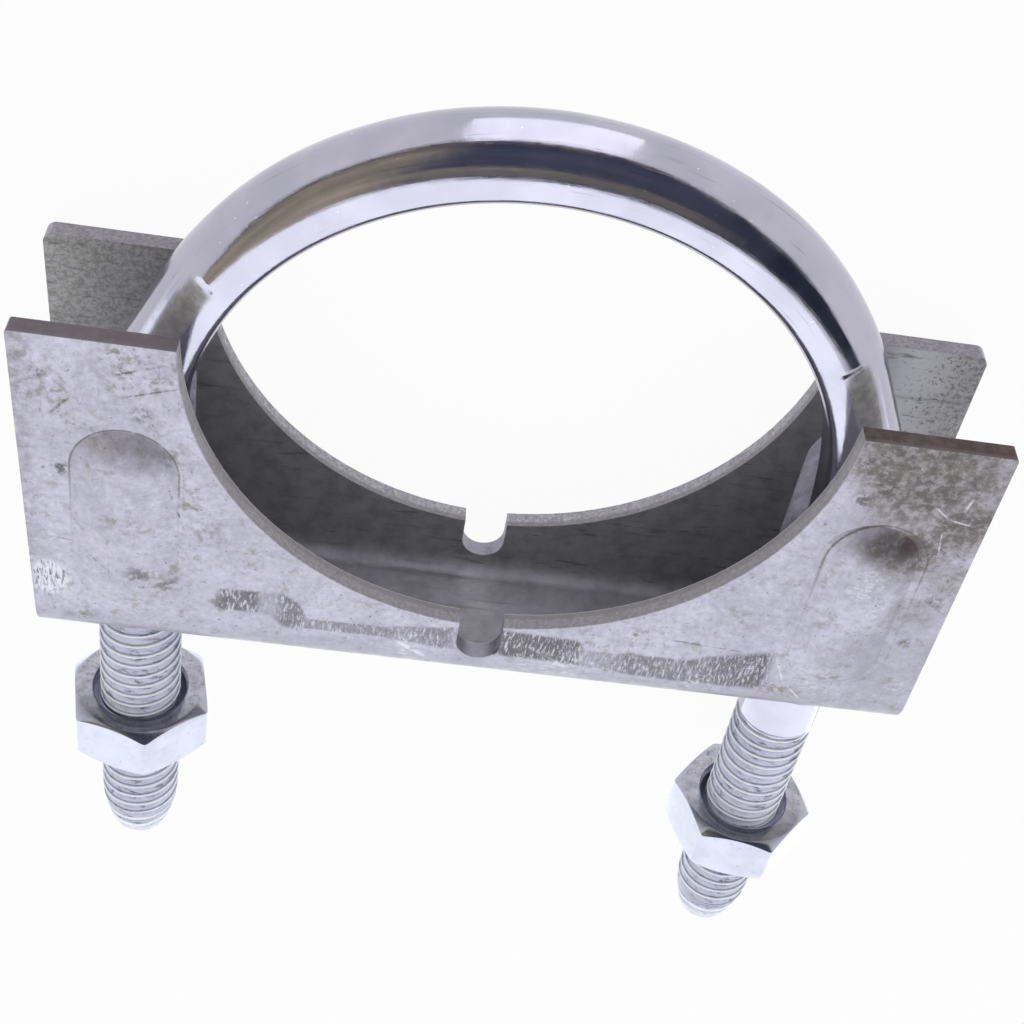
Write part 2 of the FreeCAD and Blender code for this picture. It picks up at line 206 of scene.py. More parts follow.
def tip_limit(distance):
    """The bar's radius at a distance from the tip, where it tapers on a long arc."""
    rise = max(TIP_LENGTH - distance, 0.0)
    slope = BAR_RADIUS - TIP_RADIUS
    round_radius = (TIP_LENGTH * TIP_LENGTH + slope * slope) / (2 * slope)
    end_round = 0.35
    limit = BAR_RADIUS - round_radius + sqrt(round_radius * round_radius - rise * rise)
    if distance < end_round:
        limit -= end_round - sqrt(end_round * end_round - (end_round - distance) ** 2)
    return limit


def thread_mesh(leg):
    """A right-handed thread on a grid whose rows follow the helix."""
    side, start, tip = leg["side"], leg["start"], leg["tip"]
    turns = int((start - tip) / PITCH) + 4
    levels = [whole - 2 + part for whole in range(turns + 2) for part in THREAD_SAMPLES]
    points = []
    for level in levels:
        for column in range(COLUMNS + 1):
            angle = 2 * pi * column / COLUMNS
            lead = side * (0.25 - column / COLUMNS)
            y = leg["crest"] + PITCH * (lead - level)
            y = min(max(y, tip), start)
            turn = (leg["crest"] - y) / PITCH + lead
            groove = (BAR_RADIUS - ROOT_RADIUS) * (1 - crest_share(turn)) * smoothstep(start - y, 0.0, THREAD_RUN_IN)
            radius = min(BAR_RADIUS - groove, tip_limit(y - tip))
            points.append((side * (LEG_X + radius * cos(angle)), y, radius * sin(angle)))
    width = COLUMNS + 1
    faces = []
    for row in range(len(levels) - 1):
        for column in range(COLUMNS):
            a = row * width + column
            faces.append((a, a + 1, a + 1 + width, a + width))
    ring = [(len(levels) - 1) * width + column for column in range(COLUMNS)]
    middle = len(points)
    points.append((side * LEG_X, tip, 0.0))
    faces += [(a, b, middle) for a, b in zip(ring, ring[1:] + ring[:1])]
    return points, faces


def joined(*meshes):
    points, faces = [], []
    for more_points, more_faces in meshes:
        first = len(points)
        points += more_points
        faces += [tuple(first + corner for corner in face) for face in more_faces]
    return points, faces


# The nuts
def hexagon_radius(angle):
    """The radius of a hexagon with slightly rounded corners, its first corner at angle 0."""
    sharpness = 70
    total = 0.0
    for side in range(6):
        facing = cos(angle - pi / 6 - side * pi / 3)
        if facing > 0:
            total += facing ** sharpness
    return NUT_APOTHEM / total ** (1 / sharpness)


def nut_mesh(nut):
    middle, half = (nut["low"] + nut["high"]) / 2, (nut["high"] - nut["low"]) / 2
    points = []
    rows = 0
    for column in range(NUT_COLUMNS):
        angle = 2 * pi * column / NUT_COLUMNS
        side = hexagon_radius(angle)
        chamfer = (side - NUT_FACE_RADIUS) * NUT_CHAMFER
        sink = NUT_SINK_RADIUS - NUT_BORE
        upper = [
            (NUT_BORE, 0.0),
            (NUT_BORE, half - sink),
            (NUT_SINK_RADIUS - 0.06, half - 0.06),
            (NUT_SINK_RADIUS, half - 0.015),
            (NUT_SINK_RADIUS + 0.08, half),
            (NUT_FACE_RADIUS - 0.09, half),
            (NUT_FACE_RADIUS, half - 0.012),
            (NUT_FACE_RADIUS + 0.09, half - 0.052),
            (side - 0.05, half - chamfer + 0.03),
            (side - 0.012, half - chamfer - 0.02),
            (side, half - chamfer - 0.10),
            (side, half / 3),
        ]
        profile = upper + [(radius, -height) for radius, height in reversed(upper[1:])]
        rows = len(profile)
        direction = nut["corner"] + angle
        for radius, height in profile:
            points.append((nut["x"] + radius * cos(direction), middle + height, radius * sin(direction)))
    faces = []
    for column in range(NUT_COLUMNS):
        for row in range(rows):
            a, b = column * rows + row, column * rows + (row + 1) % rows
            shift = rows if column + 1 < NUT_COLUMNS else rows - NUT_COLUMNS * rows
            faces.append((a, b, b + shift, a + shift))
    return points, faces


# Materials
class Surface:
    """The node tree of one material, in millimetres of the row frame."""

    def __init__(self, name):
        self.material = bpy.data.materials.new(name)
        self.material.use_nodes = True
        tree = self.material.node_tree
        self.nodes, self.links = tree.nodes, tree.links
        self.shader = self.nodes["Principled BSDF"]
        self.place = self.vector("SCALE", self.add("ShaderNodeTexCoord").outputs["Object"], scale=1000.0)
        split = self.add("ShaderNodeSeparateXYZ")
        self.links.new(self.place, split.inputs[0])
        self.x, self.y, self.z = split.outputs
        self.flat = self.vector("MULTIPLY", self.place, (1.0, 1.0, 0.0))

    def add(self, kind, **settings):
        node = self.nodes.new(kind)
        for key, value in settings.items():
            setattr(node, key, value)
        return node

    def put(self, socket, value):
        if isinstance(value, bpy.types.NodeSocket):
            self.links.new(value, socket)
        else:
            socket.default_value = value

    def vector(self, operation, first, second=None, scale=None):
        node = self.add("ShaderNodeVectorMath", operation=operation)
        self.put(node.inputs[0], first)
        if second is not None:
            self.put(node.inputs[1], second)
        if scale is not None:
            self.put(node.inputs["Scale"], scale)
        return node.outputs[0]

    def math(self, operation, *values):
        node = self.add("ShaderNodeMath", operation=operation)
        for socket, value in zip(node.inputs, values):
            self.put(socket, value)
        return node.outputs[0]

    def times(self, *values):
        result = values[0]
        for value in values[1:]:
            result = self.math("MULTIPLY", result, value)
        return result

    def ramp(self, value, low, high, start=0.0, end=1.0):
        node = self.add("ShaderNodeMapRange", interpolation_type="SMOOTHSTEP")
        for index, item in enumerate((value, low, high, start, end)):
            self.put(node.inputs[index], item)
        return node.outputs[0]

    def noise(self, scale, detail=2.0, roughness=0.5, stretch=(1, 1, 1), turn=0.0, distortion=0.0, place=None):
        place = place or self.place
        if stretch != (1, 1, 1) or turn:
            mapping = self.add("ShaderNodeMapping")
            self.put(mapping.inputs["Vector"], place)
            mapping.inputs["Rotation"].default_value = (0, 0, turn)
            mapping.inputs["Scale"].default_value = stretch
            place = mapping.outputs[0]
        node = self.add("ShaderNodeTexNoise")
        self.put(node.inputs["Vector"], place)
        node.inputs["Scale"].default_value = scale
        node.inputs["Detail"].default_value = detail
        node.inputs["Roughness"].default_value = roughness
        node.inputs["Distortion"].default_value = distortion
        return node.outputs[0]

    def mix(self, share, first, second):
        node = self.add("ShaderNodeMix", data_type="RGBA")
        self.put(node.inputs[0], share)
        for socket, value in ((node.inputs[6], first), (node.inputs[7], second)):
            self.put(socket, (*value, 1.0) if isinstance(value, tuple) else value)
        return node.outputs[2]

    def blob(self, x, y, radius, soft=0.5, height=1.0):
        """1 near a point of the wall, falling to 0 at the radius. height stretches it along y."""
        place = self.flat
        if height != 1.0:
            place = self.vector("MULTIPLY", place, (1.0, 1 / height, 0.0))
        node = self.add("ShaderNodeVectorMath", operation="DISTANCE")
        self.put(node.inputs[0], place)
        self.put(node.inputs[1], (x, y / height, 0.0))
        return self.ramp(node.outputs["Value"], radius, radius * (1 - soft))

    def spots(self, marks):
        """The strongest of several round marks of the wall, each (x, y, radius, strength)."""
        total = 0.0
        for x, y, radius, strength in marks:
            total = self.math("MAXIMUM", self.times(self.blob(x, y, radius, 0.8), strength), total)
        return total

    def beside(self, x, low, high):
        """Distance in the wall's plane from an upright line at x."""
        nearest = self.math("MINIMUM", self.math("MAXIMUM", self.y, low), high)
        aside, along = self.math("SUBTRACT", self.x, x), self.math("SUBTRACT", self.y, nearest)
        return self.math("SQRT", self.math("ADD", self.times(aside, aside), self.times(along, along)))

    def scratch(self, start, end, width):
        """1 on the line between two points of the wall, 0 at half its width."""
        across = (end[0] - start[0], end[1] - start[1])
        length = hypot(*across)
        unit = (across[0] / length, across[1] / length)
        x, y = self.math("SUBTRACT", self.x, start[0]), self.math("SUBTRACT", self.y, start[1])
        along = self.math("ADD", self.times(x, unit[0]), self.times(y, unit[1]))
        aside = self.math("ABSOLUTE", self.math("SUBTRACT", self.times(x, unit[1]), self.times(y, unit[0])))
        ends = self.times(self.ramp(along, 0.0, length * 0.25), self.ramp(along, length, length * 0.6))
        return self.times(self.ramp(aside, width / 2, width / 6), ends)

    def bump(self, height, distance, strength=1.0, normal=None):
        node = self.add("ShaderNodeBump")
        node.inputs["Strength"].default_value = strength
        node.inputs["Distance"].default_value = distance * MM
        self.put(node.inputs["Height"], height)
        if normal is not None:
            self.put(node.inputs["Normal"], normal)
        return node.outputs[0]

    def finish(self, colour, roughness, metallic, normal=None):
        for name, value in (("Base Color", colour), ("Roughness", roughness), ("Metallic", metallic)):
            self.put(self.shader.inputs[name], value)
        if normal is not None:
            self.put(self.shader.inputs["Normal"], normal)
        return self.material


def band_shares(surface):
    """Strength of the rubbed band along the wall, and its place across it."""
    stops = (
        (-23.4, 0.0, -27.4, 1.2), (-22.6, 0.9, -27.4, 1.4), (-19.8, 0.9, -27.3, 1.5), (-19.2, 0.35, -27.2, 1.4),
        (-18.2, 0.3, -27.6, 1.8), (-17.4, 0.8, -27.9, 2.2), (-16.0, 0.8, -28.6, 1.9), (-15.2, 0.65, -29.3, 0.7),
        (-8.6, 0.65, -29.2, 0.7), (-7.6, 0.5, -29.2, 1.0), (-3.0, 0.75, -29.1, 1.5), (-2.0, 0.4, -28.9, 1.6),
        (1.2, 1.0, -28.9, 1.8), (8.6, 1.0, -29.0, 1.7), (9.4, 0.45, -29.6, 1.2), (12.0, 0.5, -29.7, 1.2),
        (13.4, 0.8, -29.7, 1.5), (18.8, 0.75, -29.8, 1.6), (20.0, 0.8, -29.4, 1.9), (23.2, 0.9, -29.0, 2.4),
        (25.6, 1.0, -28.6, 2.6), (26.6, 0.0, -28.4, 2.6),
    )
    low, high = -24.0, 28.0
    node = surface.add("ShaderNodeValToRGB")
    ramp = node.color_ramp
    for index, (x, strength, middle, half) in enumerate(stops):
        place = (x - low) / (high - low)
        element = ramp.elements[index] if index < 2 else ramp.elements.new(place)
        element.position = place
        element.color = (strength, (middle + 32.0) / 8.0, half / 4.0, 1.0)
    span = surface.add("ShaderNodeMapRange")
    for index, value in enumerate((surface.x, low, high, 0.0, 1.0)):
        surface.put(span.inputs[index], value)
    surface.links.new(span.outputs[0], node.inputs[0])
    split = surface.add("ShaderNodeSeparateColor")
    surface.links.new(node.outputs[0], split.inputs[0])
    strength, middle, half = split.outputs
    middle = surface.math("MULTIPLY_ADD", middle, 8.0, -32.0)
    half = surface.times(half, 4.0)
    off = surface.math("ABSOLUTE", surface.math("SUBTRACT", surface.y, middle))
    share = surface.math("DIVIDE", off, half)
    return surface.times(strength, surface.ramp(share, 1.05, 0.75))


def saddle_material():
    s = Surface("zinc_sheet")
    depth = s.math("ABSOLUTE", s.z)
    front = s.ramp(s.z, 7.1, 7.3)
    inside = s.ramp(depth, 5.76, 5.71)

    # the bare zinc, faintly clouded, with olive flecks and dark specks
    colour = s.mix(s.ramp(s.noise(0.22, 4.0), 0.35, 0.65), (0.46, 0.44, 0.54), (0.39, 0.373, 0.455))
    mottle = s.noise(1.5, 7.0, 0.74)
    colour = s.mix(s.times(s.ramp(mottle, 0.46, 0.64), 0.45), colour, (0.27, 0.262, 0.285))
    colour = s.mix(s.times(s.ramp(mottle, 0.46, 0.36), 0.4), colour, (0.55, 0.545, 0.61))
    # darker towards the bottom from the fold down, and in a wide patch at the lower right end
    fold = s.ramp(s.y, -29.8, -32.8)
    colour = s.mix(s.times(fold, 0.5), colour, (0.25, 0.24, 0.29))
    dimmed = s.blob(36.5, -26.0, 9.0, 0.8)
    colour = s.mix(s.times(dimmed, 0.4), colour, (0.25, 0.24, 0.28))
    patches = s.noise(0.55, 8.0, 0.72)
    olive = s.times(s.ramp(patches, 0.56, 0.66), 0.5)
    colour = s.mix(olive, colour, (0.20, 0.183, 0.145))
    specks = s.ramp(s.noise(2.6, 4.0, 0.62), 0.645, 0.70)
    colour = s.mix(s.times(specks, 0.7), colour, (0.085, 0.08, 0.08))
    fine = s.ramp(s.noise(3.4, 3.0, 0.6, (1, 0.12, 1), radians(72)), 0.64, 0.74)
    colour = s.mix(s.times(fine, 0.35), colour, (0.17, 0.165, 0.17))

    # the grime of the right end's upper part, and brown marks elsewhere
    cloud = s.spots((
        (33.5, -3.5, 10.5, 1.0), (37.5, -8.5, 5.5, 1.0), (29.5, -2.5, 5.5, 1.0), (34.5, -11.5, 5.5, 0.85),
        (38.5, -14.5, 3.5, 0.5), (36.5, -19.0, 3.5, 0.35),
    ))
    clean = s.times(s.blob(25.6, -8.6, 4.6, 0.45), 0.9)
    cloud = s.times(cloud, s.math("SUBTRACT", 1.0, clean), front)
    ragged = s.noise(1.1, 9.0, 0.76)
    colour = s.mix(s.times(cloud, 0.55), colour, (0.24, 0.225, 0.205))
    tint = s.mix(s.ramp(patches, 0.42, 0.58), (0.125, 0.103, 0.088), (0.058, 0.044, 0.038))
    grimy = s.times(cloud, s.ramp(s.math("ADD", ragged, s.times(cloud, 0.10)), 0.44, 0.66))
    colour = s.mix(s.times(grimy, 0.85), colour, tint)
    cracks = s.times(cloud, s.ramp(s.noise(2.4, 9.0, 0.8), 0.555, 0.60))
    colour = s.mix(s.times(cracks, 0.75), colour, (0.06, 0.05, 0.05))
    stains = s.spots((
        (14.0, -26.2, 2.0, 0.7), (9.5, -27.0, 1.5, 0.6), (-30.3, -3.0, 4.2, 0.7), (-26.5, -3.4, 2.5, 0.7),
        (-36.9, -6.0, 3.6, 0.6), (-34.5, -9.0, 3.0, 0.4), (-26.0, -16.0, 2.4, 0.6), (-34.8, -31.3, 1.9, 0.8),
        (-21.0, -22.5, 2.4, 0.5), (31.5, -27.0, 2.6, 0.5), (-28.5, -26.0, 3.2, 0.6), (-24.0, -19.5, 2.6, 0.5),
        (-26.5, -11.5, 2.5, 0.4), (22.0, -22.5, 2.2, 0.4), (-31.0, -18.5, 3.0, 0.35),
    ))
    stained = s.times(stains, s.ramp(ragged, 0.49, 0.58), front)
    colour = s.mix(s.times(stained, 0.85), colour, (0.16, 0.14, 0.11))
    spots = s.spots((
        (-29.6, -7.6, 1.3, 0.8), (-28.6, -8.6, 1.0, 0.75), (-36.2, -14.3, 1.1, 0.85), (-26.3, -6.2, 0.8, 0.7),
        (-27.4, -12.0, 0.9, 0.5), (-37.6, -4.4, 0.9, 0.8), (-29.8, -24.6, 1.6, 0.6), (-27.5, -26.3, 1.4, 0.6),
        (30.5, -5.4, 1.6, 0.7), (33.8, -6.6, 1.2, 0.7), (35.2, -13.2, 1.1, 0.8), (36.6, -11.6, 0.9, 0.8),
        (31.4, -28.2, 1.3, 0.7), (37.0, -23.0, 0.9, 0.7), (38.0, -17.5, 1.2, 0.6), (-22.9, -27.9, 1.3, 0.5),
        (21.3, -11.3, 0.8, 0.6), (26.0, -10.2, 0.6, 0.8), (28.6, -7.0, 1.2, 0.8), (-25.7, -4.9, 1.0, 0.6),
    ))
    spotted = s.times(spots, s.ramp(ragged, 0.44, 0.56), front)
    colour = s.mix(spotted, colour, (0.07, 0.063, 0.057))
    strip = s.times(s.blob(27.6, -30.9, 3.0, 0.7, 0.28), s.ramp(ragged, 0.42, 0.56), front, 0.8)
    colour = s.mix(strip, colour, (0.19, 0.165, 0.125))
    # darker towards the left end, in ragged patches
    edge = s.times(s.ramp(s.x, -37.4, -39.6), s.ramp(ragged, 0.40, 0.58), front)
    colour = s.mix(s.times(edge, 0.6), colour, (0.19, 0.18, 0.20))

    # painted shade: a dark line along the crease round each pressed bump, strongest over its top, a darker patch at
    # its upper end, and a dark spot at the right bump's upper corner
    for x, top_shade_strength in ((-31.0, 0.4), (31.6, 0.95)):
        rim = s.math("ABSOLUTE", s.math("SUBTRACT", s.beside(x, -24.95, -13.9), 4.42))
        crease_shade = s.times(s.ramp(rim, 0.15, 0.04), s.ramp(s.y, -20.0, -11.5, 0.12, 0.8), front)
        colour = s.mix(s.times(crease_shade, s.ramp(ragged, 0.36, 0.50, 0.4, 1.0)), colour, (0.095, 0.085, 0.08))
        bump_top_shade = s.times(s.blob(x + 0.5, -11.6, 4.3, 0.75, 0.52), s.ramp(ragged, 0.34, 0.54, 0.55, 1.0), front, top_shade_strength)
        colour = s.mix(bump_top_shade, colour, (0.085, 0.078, 0.075))
    # painted shade: a dark spot at the right bump's upper corner
    corner = s.times(s.blob(34.0, -11.4, 2.0, 0.8, 0.7), front, 0.8)
    colour = s.mix(corner, colour, (0.06, 0.035, 0.035))

    # the band that was rubbed by a tool, in short strokes of dark and bright metal
    band = s.times(band_shares(s), front)
    strokes = s.noise(2.3, 8.0, 0.74, (1.8, 0.42, 1.0), radians(-8), 0.4)
    dark = s.times(band, s.ramp(strokes, 0.585, 0.49))
    bright = s.times(band, s.ramp(strokes, 0.59, 0.63))
    colour = s.mix(s.times(dark, 0.88), colour, (0.07, 0.066, 0.07))
    colour = s.mix(s.times(bright, 0.8), colour, (0.58, 0.58, 0.64))

    # the scrape at the lower left corner, pale scuffs and single scratches
    scrape = s.times(s.blob(-37.5, -27.2, 2.3, 0.5, 1.2), s.ramp(s.x, -39.3, -38.6), front)
    colour = s.mix(s.times(scrape, s.ramp(strokes, 0.46, 0.54), 0.9), colour, (0.62, 0.62, 0.68))
    colour = s.mix(s.times(scrape, s.ramp(strokes, 0.47, 0.40)), colour, (0.10, 0.095, 0.10))
    scuffs = s.spots((
        (31.6, -15.6, 2.8, 0.9), (33.0, -18.5, 2.2, 0.6), (30.0, -29.5, 1.6, 0.7), (-37.0, -22.5, 1.5, 0.6),
        (20.0, -31.6, 2.4, 0.6), (8.0, -31.7, 3.6, 0.75), (-6.0, -31.0, 1.8, 0.6), (24.6, -28.4, 1.3, 0.7),
        (38.0, -28.5, 1.4, 0.7), (-33.5, -8.3, 0.6, 0.6), (4.5, -31.2, 1.6, 0.7),
    ))
    torn = s.noise(1.5, 6.0, 0.7, (0.7, 1.3, 1.0), radians(35), 0.8)
    scuffed = s.times(scuffs, s.ramp(torn, 0.50, 0.60), front)
    colour = s.mix(s.times(scuffed, 0.85), colour, (0.63, 0.63, 0.69))
    for start, end, width in (
        ((-7.4, -30.0), (-3.9, -32.2), 0.6), ((34.5, -6.7), (36.3, -8.1), 0.28), ((36.2, -8.0), (38.6, -8.5), 0.22),
        ((28.4, -30.2), (30.0, -31.9), 0.2), ((36.0, -9.2), (36.6, -12.4), 0.2), ((37.4, -5.4), (37.1, -7.0), 0.35),
        ((26.3, -26.4), (28.2, -30.6), 0.15),
    ):
        mark = s.times(s.scratch(start, end, width), s.ramp(torn, 0.36, 0.50), front)
        colour = s.mix(s.times(mark, 0.8), colour, (0.64, 0.64, 0.70))
    for start, end, width in (
        ((34.0, -10.5), (37.3, -11.1), 0.22), ((37.2, -11.0), (38.8, -12.3), 0.22),
        ((-38.2, -22.1), (-34.7, -22.4), 0.16), ((-34.8, -22.4), (-31.8, -24.9), 0.16),
        ((15.8, -25.9), (25.5, -26.6), 0.22), ((-32.0, -4.0), (-27.4, -2.2), 0.35),
        ((-31.5, -6.2), (-26.0, -4.2), 0.25), ((-37.0, -8.8), (-34.6, -5.8), 0.35),
        ((-24.2, -9.0), (-25.4, -5.4), 0.3), ((-27.6, -14.0), (-25.9, -20.4), 0.25),
    ):
        mark = s.times(s.scratch(start, end, width), s.ramp(ragged, 0.44, 0.56), front)
        colour = s.mix(s.times(mark, 0.85), colour, (0.11, 0.10, 0.095))

    # the channel's inside, dull and scratched, with painted shade darkening it, most on its back wall, which is
    # marked at both ends
    dull_and_painted_dark = s.mix(s.ramp(s.noise(0.5, 7.0, 0.68), 0.35, 0.7), (0.38, 0.375, 0.43), (0.27, 0.265, 0.30))
    # painted shade: the back wall darker than the rest of the inside, where the front wall and the loop shade it
    back_wall = s.ramp(s.z, -5.0, -5.6)
    dull_and_painted_dark = s.mix(back_wall, dull_and_painted_dark, s.mix(s.ramp(s.noise(0.5, 7.0, 0.68), 0.35, 0.7),
                                        (0.28, 0.278, 0.30), (0.195, 0.192, 0.208)))
    dull_and_painted_dark = s.mix(s.ramp(s.z, 5.0, 5.6), dull_and_painted_dark, (0.74, 0.73, 0.72))
    worn = s.ramp(s.noise(2.4, 8.0, 0.78), 0.42, 0.60)
    left_end = s.times(s.ramp(s.x, -26.5, -28.5), back_wall)
    dull_and_painted_dark = s.mix(s.times(left_end, 0.9), dull_and_painted_dark, s.mix(worn, (0.36, 0.355, 0.36), (0.20, 0.19, 0.185)))
    pocked = s.ramp(s.math("ADD", s.noise(2.6, 7.0, 0.72), s.times(s.ramp(s.x, 31.0, 39.5), 0.12)), 0.60, 0.70)
    right_end = s.times(s.ramp(s.x, 27.0, 33.0), back_wall)
    pale = s.mix(s.ramp(s.x, 33.0, 39.0), (0.60, 0.60, 0.65), (0.27, 0.26, 0.275))
    dull_and_painted_dark = s.mix(s.times(right_end, 0.9), dull_and_painted_dark, s.mix(pocked, pale, (0.13, 0.125, 0.13)))
    drag = s.ramp(s.noise(2.2, 3.0, 0.6, (0.12, 1, 1), radians(16)), 0.62, 0.70)
    dull_and_painted_dark = s.mix(s.times(drag, back_wall, 0.6), dull_and_painted_dark, (0.09, 0.085, 0.085))
    drawn = s.ramp(s.noise(1.6, 3.0, 0.6, (0.06, 1, 1)), 0.58, 0.68)
    dull_and_painted_dark = s.mix(s.times(drawn, 0.4), dull_and_painted_dark, (0.15, 0.145, 0.15))
    colour = s.mix(inside, colour, dull_and_painted_dark)

    # cut edges: grainy bare steel along the seat, rust along the walls' free edges
    rho = s.math("SQRT", s.math("ADD", s.times(s.x, s.x), s.times(s.y, s.y)))
    seat_cut = s.times(s.ramp(rho, 27.12, 27.04), s.math("SUBTRACT", 1.0, inside))
    grain = s.ramp(s.noise(2.8, 6.0, 0.75), 0.36, 0.66)
    sheared = s.ramp(depth, 6.15, 6.45)
    cut = s.mix(grain, (0.30, 0.285, 0.315), (0.56, 0.545, 0.61))
    cut = s.mix(s.math("SUBTRACT", 0.6, s.times(sheared, 0.6)), cut, (0.20, 0.19, 0.21))
    # the front wall's cut darker than the back wall's
    upper = s.ramp(s.z, 0.0, 1.0)
    cut = s.mix(s.times(upper, 0.6), cut, (0.215, 0.205, 0.222))
    colour = s.mix(seat_cut, colour, cut)
    top_cut = s.times(s.ramp(s.y, -0.88, -0.83), s.ramp(depth, 5.6, 5.75))
    rust = s.mix(s.ramp(s.noise(1.0, 6.0, 0.72), 0.40, 0.62), (0.036, 0.020, 0.019), (0.088, 0.062, 0.06))
    rust = s.mix(s.times(s.ramp(s.x, 24.0, 36.0), 0.4), rust, (0.07, 0.028, 0.022))
    lip = s.ramp(s.z, 6.95, 7.25)
    rust = s.mix(s.times(lip, 0.3), rust, (0.17, 0.15, 0.165))
    rust = s.mix(s.times(s.ramp(s.x, 0.0, -10.0), 0.55), rust, (0.19, 0.165, 0.20))
    bare = s.mix(grain, (0.22, 0.20, 0.235), (0.37, 0.35, 0.41))
    colour = s.mix(top_cut, colour, s.mix(upper, bare, rust))

    rusty = s.times(top_cut, upper)
    metal = s.math("SUBTRACT", 0.5, s.math("MULTIPLY", s.math("MAXIMUM", rusty, s.math("MAXIMUM", cloud, stained)), 0.38))
    metal = s.math("SUBTRACT", metal, s.times(inside, 0.2))
    rough = s.ramp(s.noise(0.8, 4.0), 0.3, 0.7, 0.36, 0.52)
    height = s.math("ADD", s.times(mottle, 0.5), s.times(strokes, band, 1.2))
    return s.finish(colour, rough, metal, s.bump(height, 0.04))


def bolt_material():
    s = Surface("zinc_bolt")
    colour = s.mix(s.ramp(s.noise(0.2, 3.0), 0.35, 0.65), (0.475, 0.462, 0.555), (0.42, 0.412, 0.495))
    lift = s.math("SUBTRACT", s.y, LOOP_CENTRE_Y)
    along = s.times(s.math("ARCTAN2", s.x, lift), LOOP_LINE_RADIUS)
    rho = s.math("SQRT", s.math("ADD", s.times(s.x, s.x), s.times(lift, lift)))
    drawn = s.add("ShaderNodeCombineXYZ")
    for socket, value in zip(drawn.inputs, (rho, s.times(along, 0.05), s.z)):
        s.put(socket, value)
    on_loop = s.ramp(s.y, -18.0, -12.0)
    lines = s.noise(2.4, 5.0, 0.65, place=drawn.outputs[0])
    colour = s.mix(s.times(s.ramp(lines, 0.60, 0.72), on_loop, 0.45), colour, (0.22, 0.21, 0.25))
    specks = s.ramp(s.noise(1.6, 2.0), 0.73, 0.77)
    colour = s.mix(s.times(specks, 0.6), colour, (0.72, 0.71, 0.76))

    # the shoulders below the die marks, duller, with a grey painted reflection of the saddle on their upper outer
    # side
    round_bar = s.math("ARCTAN2", s.z, s.math("SUBTRACT", rho, LOOP_LINE_RADIUS))
    turned = s.math("ABSOLUTE", s.math("ARCTAN2", s.x, lift))
    dull_and_painted_dark = s.times(s.ramp(turned, radians(57.0), radians(58.6)), s.ramp(round_bar, radians(46), radians(56)),
                   s.ramp(round_bar, radians(88), radians(78)), on_loop)
    painted_reflection_grey = s.mix(s.ramp(s.noise(1.3, 5.0, 0.65), 0.4, 0.6), (0.335, 0.325, 0.335), (0.25, 0.243, 0.25))
    colour = s.mix(dull_and_painted_dark, colour, painted_reflection_grey)

    # the threads, matt and pale, with painted highlights on their crests over painted shade lines beside them, and
    # faint painted shade in the grooves
    right_leg = s.ramp(s.x, -1.0, 1.0)
    start = s.math("MULTIPLY_ADD", right_leg, -8.0, -33.3)
    depth = s.math("SUBTRACT", start, s.y)
    below = s.ramp(depth, 0.2, 1.2)
    aside = s.math("SUBTRACT", s.math("ABSOLUTE", s.x), LEG_X)
    radius = s.math("SQRT", s.math("ADD", s.times(aside, aside), s.times(s.z, s.z)))
    rolled = s.noise(2.0, 6.0, 0.7, (0.35, 2.6, 0.35))
    flank = s.mix(s.ramp(rolled, 0.42, 0.60), (0.86, 0.88, 1.0), (0.70, 0.715, 0.86))
    flank = s.mix(s.times(s.ramp(rolled, 0.56, 0.64), 0.85), flank, (0.17, 0.17, 0.22))
    colour = s.mix(s.times(below, 0.95), colour, flank)
    # painted shade beside each crest
    line = s.times(s.ramp(radius, 3.56, 3.63), s.ramp(radius, 3.76, 3.70), below)
    colour = s.mix(s.times(line, 0.62), colour, (0.11, 0.105, 0.14))
    groove = s.times(s.ramp(radius, 3.16, 3.0), below)
    colour = s.mix(s.times(groove, 0.2), colour, (0.25, 0.245, 0.30))
    # painted highlight on each crest
    crest = s.times(s.ramp(radius, 3.75, 3.80), below)
    colour = s.mix(crest, colour, (0.93, 0.95, 1.0))

    rough = s.ramp(s.noise(0.5, 3.0), 0.3, 0.7, 0.09, 0.17)
    rough = s.math("ADD", rough, s.math("ADD", s.times(below, 0.28), s.times(dull_and_painted_dark, 0.2)))
    metal = s.math("SUBTRACT", 1.0, s.math("ADD", s.times(below, 0.9), s.times(dull_and_painted_dark, 0.55)))
    fine = s.bump(s.times(lines, on_loop), 0.012)
    return s.finish(colour, rough, metal, s.bump(s.noise(0.9, 3.0, 0.5, (1, 1, 0.35)), 0.012, normal=fine))


def nut_material():
    s = Surface("zinc_nut")
    colour = s.mix(s.ramp(s.noise(0.3, 3.0), 0.35, 0.65), (0.475, 0.48, 0.565), (0.42, 0.422, 0.495))
    specks = s.ramp(s.noise(2.6, 2.0), 0.68, 0.73)
    colour = s.mix(s.times(specks, 0.5), colour, (0.16, 0.155, 0.18))
    split = s.add("ShaderNodeSeparateXYZ")
    s.links.new(s.add("ShaderNodeTexCoord").outputs["Normal"], split.inputs[0])
    upper = s.ramp(split.outputs[1], 0.75, 0.95)
    face = s.mix(s.ramp(s.noise(0.9, 6.0, 0.7), 0.38, 0.62), (0.49, 0.485, 0.56), (0.34, 0.333, 0.39))
    face = s.mix(s.times(s.ramp(s.noise(2.0, 7.0, 0.75), 0.55, 0.64), 0.7), face, (0.13, 0.13, 0.14))
    # painted reflection: the top faces darker towards the front
    face = s.mix(s.ramp(s.z, 0.5, 5.0, 0.0, 0.7), face, (0.11, 0.108, 0.115))
    colour = s.mix(upper, colour, face)
    rough = s.ramp(s.noise(1.2, 4.0), 0.3, 0.7, 0.13, 0.22)
    height = s.noise(1.5, 4.0, 0.6, (1, 0.4, 1))
    return s.finish(colour, rough, 1.0, s.bump(height, 0.010))


